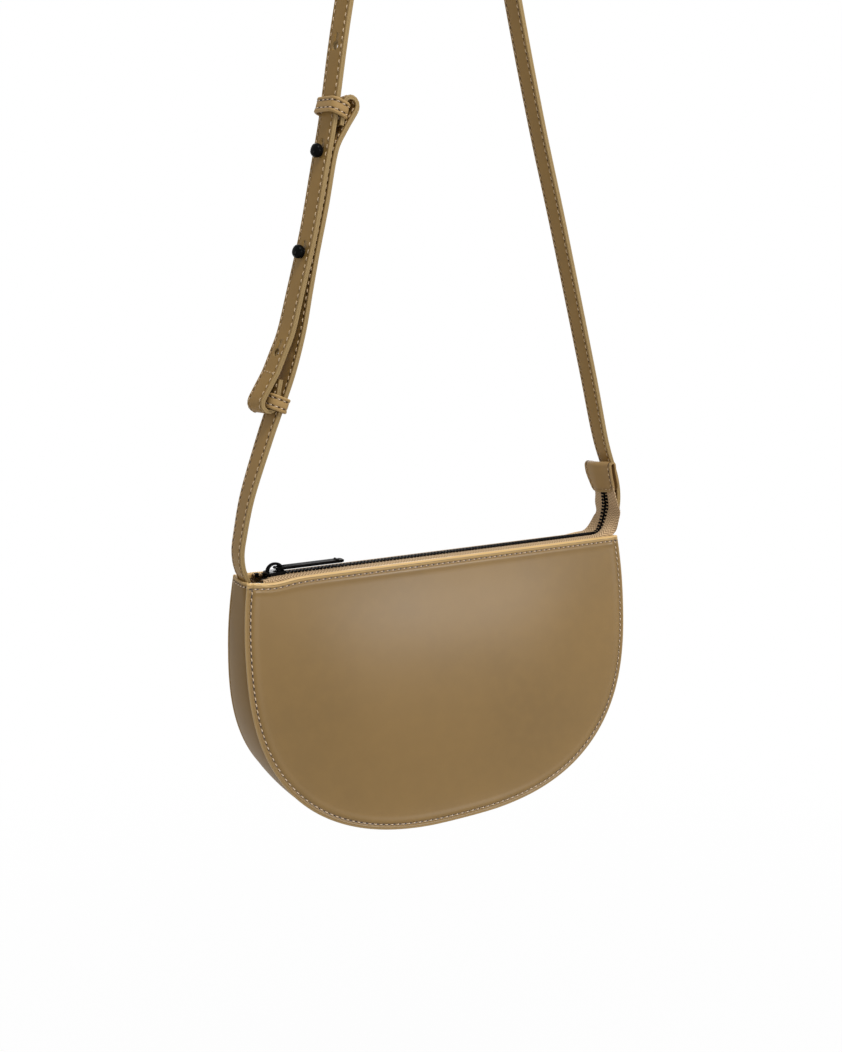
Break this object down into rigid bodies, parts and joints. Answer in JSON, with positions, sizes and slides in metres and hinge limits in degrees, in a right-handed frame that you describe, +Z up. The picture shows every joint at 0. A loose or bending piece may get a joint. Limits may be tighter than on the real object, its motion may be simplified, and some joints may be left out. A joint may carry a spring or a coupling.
{
  "type": "saddle handbag",
  "caption": "Half-moon leather shoulder bag with a zipped mouth, a loose zip tail and a strap set by studs and loose keepers.",
  "frame": {"origin": "underside of the strap's top, in the middle, where the strap rests on a shoulder, hook or rail", "axes": "+X along the zip towards its loose tail, -Y out of the front panel, +Z up"},
  "size_m": [0.2561, 0.06, 0.6436],
  "materials": {
    "body_leather": "smooth, semi-matt",
    "strap_leather": "smooth, semi-matt, lighter cut edges",
    "lining_cloth": "plain woven cotton",
    "stiffener_board": "bonded leather board",
    "zip_tape": "herringbone twill tape",
    "zip_metal": "black satin enamel",
    "stud_metal": "black satin enamel"
  },
  "bodies": {
    "strap": {"long_strap_face": "strap_leather", "long_strap_lining": "strap_leather", "short_strap_face": "strap_leather", "short_strap_lining": "strap_leather", "upper_stud": "stud_metal", "lower_stud": "stud_metal", "upper_stud_screw": "stud_metal", "lower_stud_screw": "stud_metal"},
    "upper_keeper": {"upper_keeper": "strap_leather"},
    "lower_keeper": {"lower_keeper": "strap_leather"},
    "bag": {"front_panel": "body_leather", "back_panel": "body_leather", "gusset": "body_leather", "front_top_hem": "body_leather", "back_top_hem": "body_leather", "left_end_hem": "body_leather", "right_end_hem": "body_leather", "front_stiffener": "stiffener_board", "back_stiffener": "stiffener_board", "front_lining": "lining_cloth", "back_lining": "lining_cloth", "gusset_lining": "lining_cloth", "slip_pocket": "lining_cloth", "left_strap_anchor": "strap_leather", "right_strap_anchor": "strap_leather", "left_anchor_patch": "lining_cloth", "right_anchor_patch": "lining_cloth", "zip_tape_front": "zip_tape", "zip_tape_back": "zip_tape", "zip_teeth_front": "zip_metal", "zip_teeth_back": "zip_metal", "zip_top_stops": "zip_metal"},
    "slider": {"zip_slider": "zip_metal", "zip_bail": "zip_metal"},
    "puller": {"zip_puller": "zip_metal"},
    "zip_tail": {"tail_tape_front": "zip_tape", "tail_tape_back": "zip_tape", "tail_teeth_front": "zip_metal", "tail_teeth_back": "zip_metal", "tail_bottom_stop": "zip_metal", "tail_tab": "body_leather"}
  },
  "joints": [
    {"name": "bag_swing", "type": "hinge", "parent": "strap", "child": "bag", "pos_m": [0, 0, -0.4768], "axis": [1, 0, 0], "range_deg": [-30, 30]},
    {"name": "zip_slide", "type": "slide", "parent": "bag", "child": "slider", "axis": [1, 0, 0], "range_m": [0, 0.175]},
    {"name": "puller_flip", "type": "hinge", "parent": "slider", "child": "puller", "pos_m": [-0.103, 0, -0.4816], "axis": [0, -1, 0], "range_deg": [0, 100]},
    {"name": "zip_tail_fold", "type": "hinge", "parent": "bag", "child": "zip_tail", "pos_m": [0.117, 0, -0.4838], "axis": [0, -1, 0], "range_deg": [0, 50]},
    {"name": "upper_keeper_slide", "type": "slide", "parent": "strap", "child": "upper_keeper", "axis": [0.309, 0, 0.9511], "range_m": [0, 0.002]},
    {"name": "lower_keeper_slide", "type": "slide", "parent": "strap", "child": "lower_keeper", "axis": [0.3746, 0, 0.9272], "range_m": [0, 0.002]}
  ]
}
